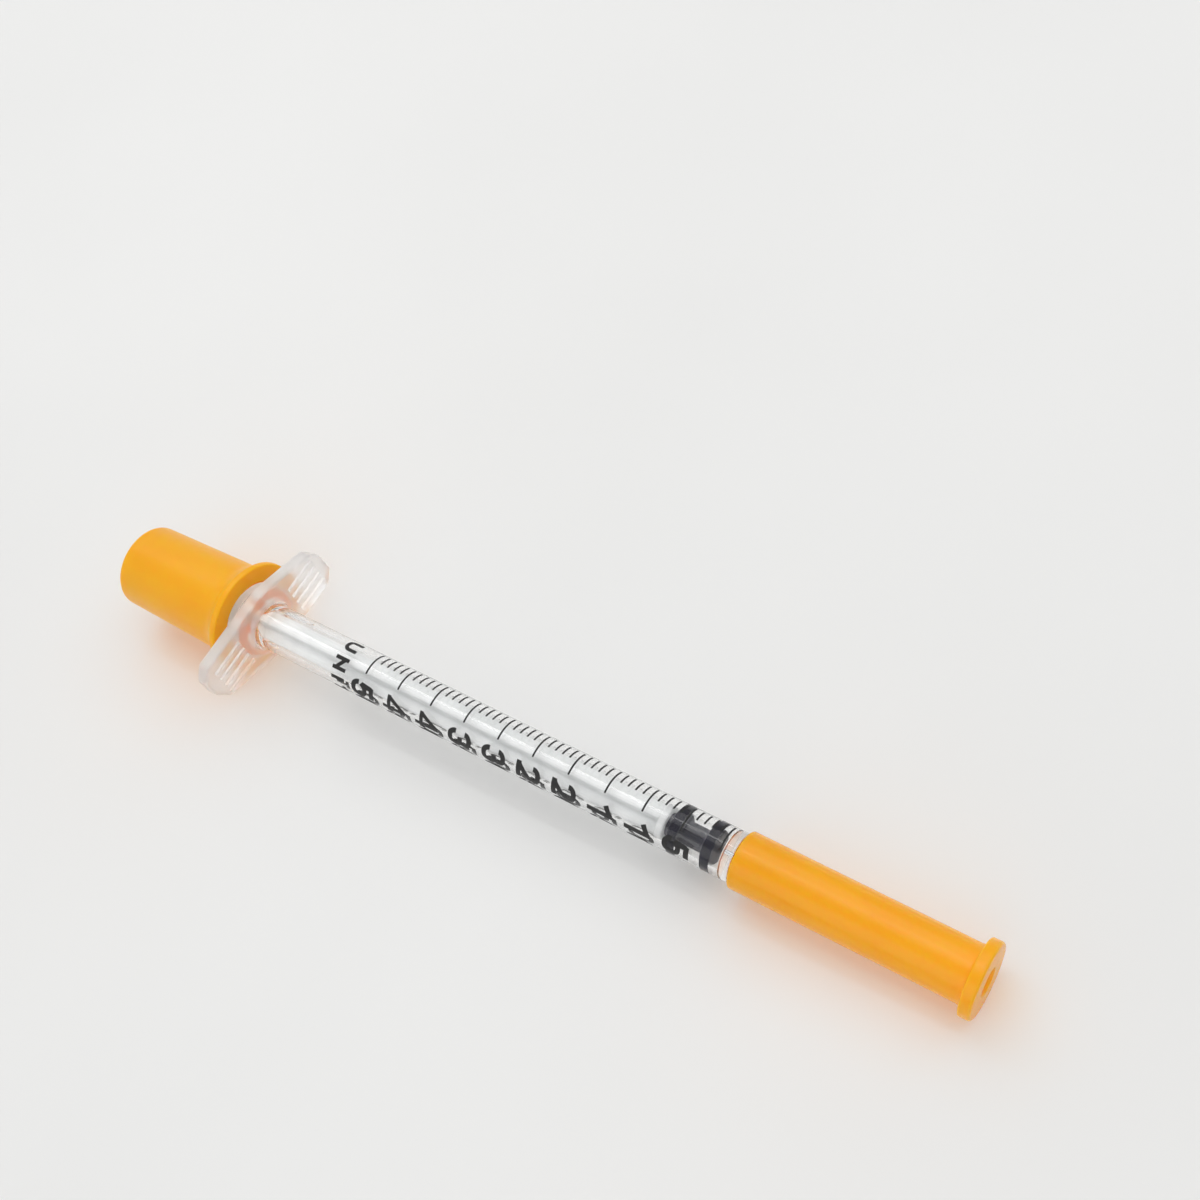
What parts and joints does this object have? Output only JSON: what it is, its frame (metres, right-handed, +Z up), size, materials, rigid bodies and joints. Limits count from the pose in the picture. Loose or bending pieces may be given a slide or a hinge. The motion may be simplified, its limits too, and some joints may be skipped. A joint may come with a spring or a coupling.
{
  "type": "insulin syringe",
  "caption": "Fixed-needle insulin syringe lying on its side: clear graduated barrel with finger flange, sliding plunger, pull-off plunger cap and needle shield.",
  "frame": {"origin": "middle of the overall length with both caps on, under the axis, at the lowest line of the plunger cap's lip", "axes": "+X along the axis towards the needle, +Y along the finger flange, +Z up"},
  "size_m": [0.1074, 0.0202, 0.0131],
  "materials": {
    "clear_plastic": "clear, lightly frosted on the flange",
    "black_ink": "printed ink",
    "needle_steel": "fine drawn",
    "adhesive": "cured resin",
    "white_plastic": "translucent white, satin",
    "black_rubber": "siliconed, satin",
    "cap_orange": "satin",
    "shield_orange": "satin"
  },
  "bodies": {
    "barrel": {"barrel": "clear_plastic", "scale_print": "black_ink", "needle_cannula": "needle_steel", "needle_adhesive": "adhesive"},
    "plunger": {"plunger_rod": "white_plastic", "stopper": "black_rubber"},
    "cap": {"plunger_cap": "cap_orange"},
    "shield": {"needle_shield": "shield_orange"}
  },
  "joints": [
    {"name": "plunger_slide", "type": "slide", "parent": "barrel", "child": "plunger", "axis": [-1, 0, 0], "range_m": [-0.0008, 0.04376]},
    {"name": "plunger_cap_slide", "type": "slide", "parent": "plunger", "child": "cap", "axis": [-1, 0, 0], "range_m": [0, 0.022]},
    {"name": "needle_shield_slide", "type": "slide", "parent": "barrel", "child": "shield", "axis": [1, 0, 0], "range_m": [0, 0.028]}
  ]
}
